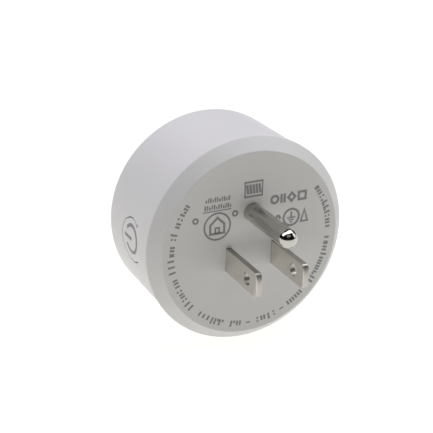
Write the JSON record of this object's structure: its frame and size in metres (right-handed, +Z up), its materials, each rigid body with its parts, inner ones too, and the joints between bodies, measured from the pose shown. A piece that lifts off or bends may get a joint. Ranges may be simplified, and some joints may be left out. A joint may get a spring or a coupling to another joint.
{
  "type": "plug in power meter",
  "caption": "Round white plug-through power meter: grounded plug blades at the rear, grounded outlet at the front, push button on the side wall.",
  "frame": {"origin": "centre of the round case on its flat rear face, the face that seats on the wall plate", "axes": "+Y out of the rear face into the wall, along the blades; +Z up, from the blades to the ground pin; the button is on +X; -Y out of the outlet towards the user"},
  "size_m": [0.0546, 0.0499, 0.0546],
  "materials": {
    "case_plastic": "moulded, very fine satin texture",
    "cover_plastic": "moulded, fine satin texture with printed marks",
    "button_plastic": "moulded, fine satin texture with a printed power symbol",
    "outlet_plastic": "moulded, semi-gloss",
    "inner_plastic": "moulded, flame retardant",
    "nickel": "nickel plated brass, satin",
    "spring_bronze": "stamped spring strip",
    "copper_strap": "stamped copper strip, tinned",
    "board_green": "glass-epoxy board with solder mask",
    "module_board": "glass-epoxy board with dark solder mask",
    "shield_can": "tinned pressed steel",
    "relay_case": "moulded, fine texture",
    "capacitor_sleeve": "shrink sleeve over an aluminium can",
    "ferrite": "sintered ferrite with a copper winding",
    "varistor_blue": "epoxy dipped disc",
    "resistor_coat": "flameproof coating with colour bands",
    "chip_black": "moulded epoxy",
    "shunt_metal": "manganin strip with tinned ends",
    "switch_black": "moulded",
    "lamp_lens": "moulded lamp body",
    "clear_pipe": "clear moulded polycarbonate",
    "screw_steel": "zinc plated"
  },
  "bodies": {
    "case": {"body_shell": "case_plastic", "rear_cover": "cover_plastic", "live_blade": "nickel", "neutral_blade": "nickel", "ground_pin": "nickel", "blade_retainer": "inner_plastic", "ground_strap": "copper_strap", "outlet_insert": "outlet_plastic", "contact_carrier": "inner_plastic", "live_contact": "spring_bronze", "neutral_contact": "spring_bronze", "ground_contact": "spring_bronze", "main_board": "board_green", "control_board": "board_green", "radio_module": "module_board", "radio_shield": "shield_can", "relay": "relay_case", "capacitors": "capacitor_sleeve", "inductor": "ferrite", "varistor": "varistor_blue", "fuse_resistor": "resistor_coat", "bridge_rectifier": "chip_black", "metering_chip": "chip_black", "shunt_resistor": "shunt_metal", "switch_base": "switch_black", "indicator_led": "lamp_lens", "light_pipe": "clear_pipe", "board_screws": "screw_steel", "carrier_screws": "screw_steel", "retainer_screws": "screw_steel"},
    "button": {"button_tab": "button_plastic"},
    "plunger": {"switch_plunger": "switch_black"}
  },
  "joints": [
    {"name": "button_press", "type": "hinge", "parent": "case", "child": "button", "pos_m": [0.0258, -0.01093, 0], "axis": [0, 0, -1], "range_deg": [0, 2.7], "stiffness_Nm_per_rad": 0.35},
    {"name": "switch_press", "type": "slide", "parent": "case", "child": "plunger", "axis": [-1, 0, 0], "range_m": [0, 0.00025]}
  ],
  "couplings": [
    {"joint": "switch_press", "follows": "button_press", "m_per_rad": 0.00527}
  ]
}
